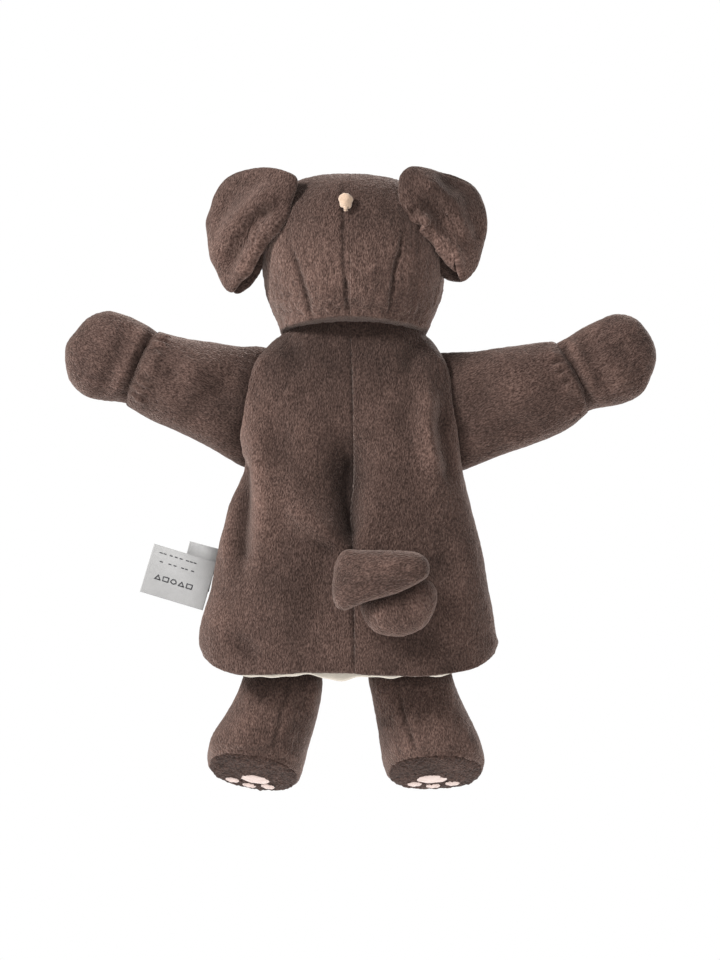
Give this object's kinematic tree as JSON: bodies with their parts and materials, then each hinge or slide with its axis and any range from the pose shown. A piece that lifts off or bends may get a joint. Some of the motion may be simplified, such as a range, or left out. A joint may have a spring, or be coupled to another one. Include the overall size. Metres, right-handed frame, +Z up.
{
  "type": "hand puppet",
  "caption": "Soft plush puppy glove puppet with a stuffed head, folded ears, open-hemmed lined body, sleeves with mitt paws, hanging legs, a curled tail and seam labels.",
  "frame": {"origin": "middle of the hand opening, in the plane of the hem", "axes": "+Z up from the hem to the head, -Y the way the face looks, +Y out of the back, +X to the puppet's own left"},
  "size_m": [0.2592, 0.1051, 0.2817],
  "materials": {
    "brown_plush": "short cut-pile plush, brushed, soft sheen",
    "sole_plush": "dark short-pile plush",
    "lining_cloth": "plain woven cotton lining",
    "fibre_filling": "loose polyester fibre",
    "pink_embroidery": "satin-stitch thread",
    "nose_cloth": "smooth satin-stitched cloth",
    "eye_bead": "polished",
    "tan_cord": "twisted cotton cord",
    "label_satin": "woven satin ribbon"
  },
  "bodies": {
    "torso": {"back_panel_left": "brown_plush", "back_panel_right": "brown_plush", "front_panel": "brown_plush", "lining_back": "lining_cloth", "lining_front": "lining_cloth"},
    "neck": {"finger_pocket": "lining_cloth"},
    "head": {"head_back_left": "brown_plush", "head_back_right": "brown_plush", "face_left": "brown_plush", "face_right": "brown_plush", "head_stuffing": "fibre_filling", "muzzle": "brown_plush", "nose": "nose_cloth", "eye_left": "eye_bead", "eye_right": "eye_bead", "cord_knot": "tan_cord"},
    "left_ear": {"ear_left_back": "brown_plush", "ear_left_front": "brown_plush"},
    "right_ear": {"ear_right_back": "brown_plush", "ear_right_front": "brown_plush"},
    "left_arm": {"sleeve_left": "brown_plush", "sleeve_lining_left": "lining_cloth"},
    "right_arm": {"sleeve_right": "brown_plush", "sleeve_lining_right": "lining_cloth"},
    "left_paw": {"paw_left": "brown_plush", "paw_stuffing_left": "fibre_filling"},
    "right_paw": {"paw_right": "brown_plush", "paw_stuffing_right": "fibre_filling"},
    "left_leg": {"leg_left": "brown_plush", "leg_stuffing_left": "fibre_filling", "sole_left": "sole_plush", "pads_left": "pink_embroidery"},
    "right_leg": {"leg_right": "brown_plush", "leg_stuffing_right": "fibre_filling", "sole_right": "sole_plush", "pads_right": "pink_embroidery"},
    "tail": {"tail": "brown_plush", "tail_stuffing": "fibre_filling"},
    "seam_labels": {"care_label": "label_satin", "side_label": "label_satin"}
  },
  "joints": [
    {"name": "neck_nod", "type": "hinge", "parent": "torso", "child": "neck", "pos_m": [0, 0, 0.15], "axis": [1, 0, 0], "range_deg": [-15, 14]},
    {"name": "head_turn", "type": "hinge", "parent": "neck", "child": "head", "pos_m": [0, 0, 0.17], "axis": [0, 0, 1], "range_deg": [-40, 40]},
    {"name": "left_ear_flap", "type": "hinge", "parent": "head", "child": "left_ear", "pos_m": [0.0365, 0, 0.198], "axis": [0, 0, 1], "range_deg": [-18, 14]},
    {"name": "right_ear_flap", "type": "hinge", "parent": "head", "child": "right_ear", "pos_m": [-0.0365, 0, 0.198], "axis": [0, 0, -1], "range_deg": [-18, 14]},
    {"name": "left_arm_raise", "type": "hinge", "parent": "torso", "child": "left_arm", "pos_m": [0.066, 0, 0.125], "axis": [0, -1, 0], "range_deg": [-50, 35]},
    {"name": "right_arm_raise", "type": "hinge", "parent": "torso", "child": "right_arm", "pos_m": [-0.066, 0, 0.125], "axis": [0, 1, 0], "range_deg": [-50, 35]},
    {"name": "left_paw_curl", "type": "hinge", "parent": "left_arm", "child": "left_paw", "pos_m": [0.10371, 0, 0.13835], "axis": [0.3338, 0, -0.9426], "range_deg": [-15, 50]},
    {"name": "right_paw_curl", "type": "hinge", "parent": "right_arm", "child": "right_paw", "pos_m": [-0.10371, 0, 0.13835], "axis": [0.3338, 0, 0.9426], "range_deg": [-15, 50]},
    {"name": "left_leg_swing", "type": "hinge", "parent": "torso", "child": "left_leg", "pos_m": [0.031, -0.009, -0.013], "axis": [-1, 0, 0], "range_deg": [-25, 60]},
    {"name": "right_leg_swing", "type": "hinge", "parent": "torso", "child": "right_leg", "pos_m": [-0.031, -0.009, -0.013], "axis": [-1, 0, 0], "range_deg": [-25, 60]},
    {"name": "tail_wag", "type": "hinge", "parent": "torso", "child": "tail", "pos_m": [-0.0085, 0.036, 0.032], "axis": [0, 1, 0], "range_deg": [-15, 15]},
    {"name": "label_flap", "type": "hinge", "parent": "torso", "child": "seam_labels", "pos_m": [0.06072, 0, 0.038], "axis": [-0.342, 0, 0.9397], "range_deg": [-45, 60]}
  ]
}
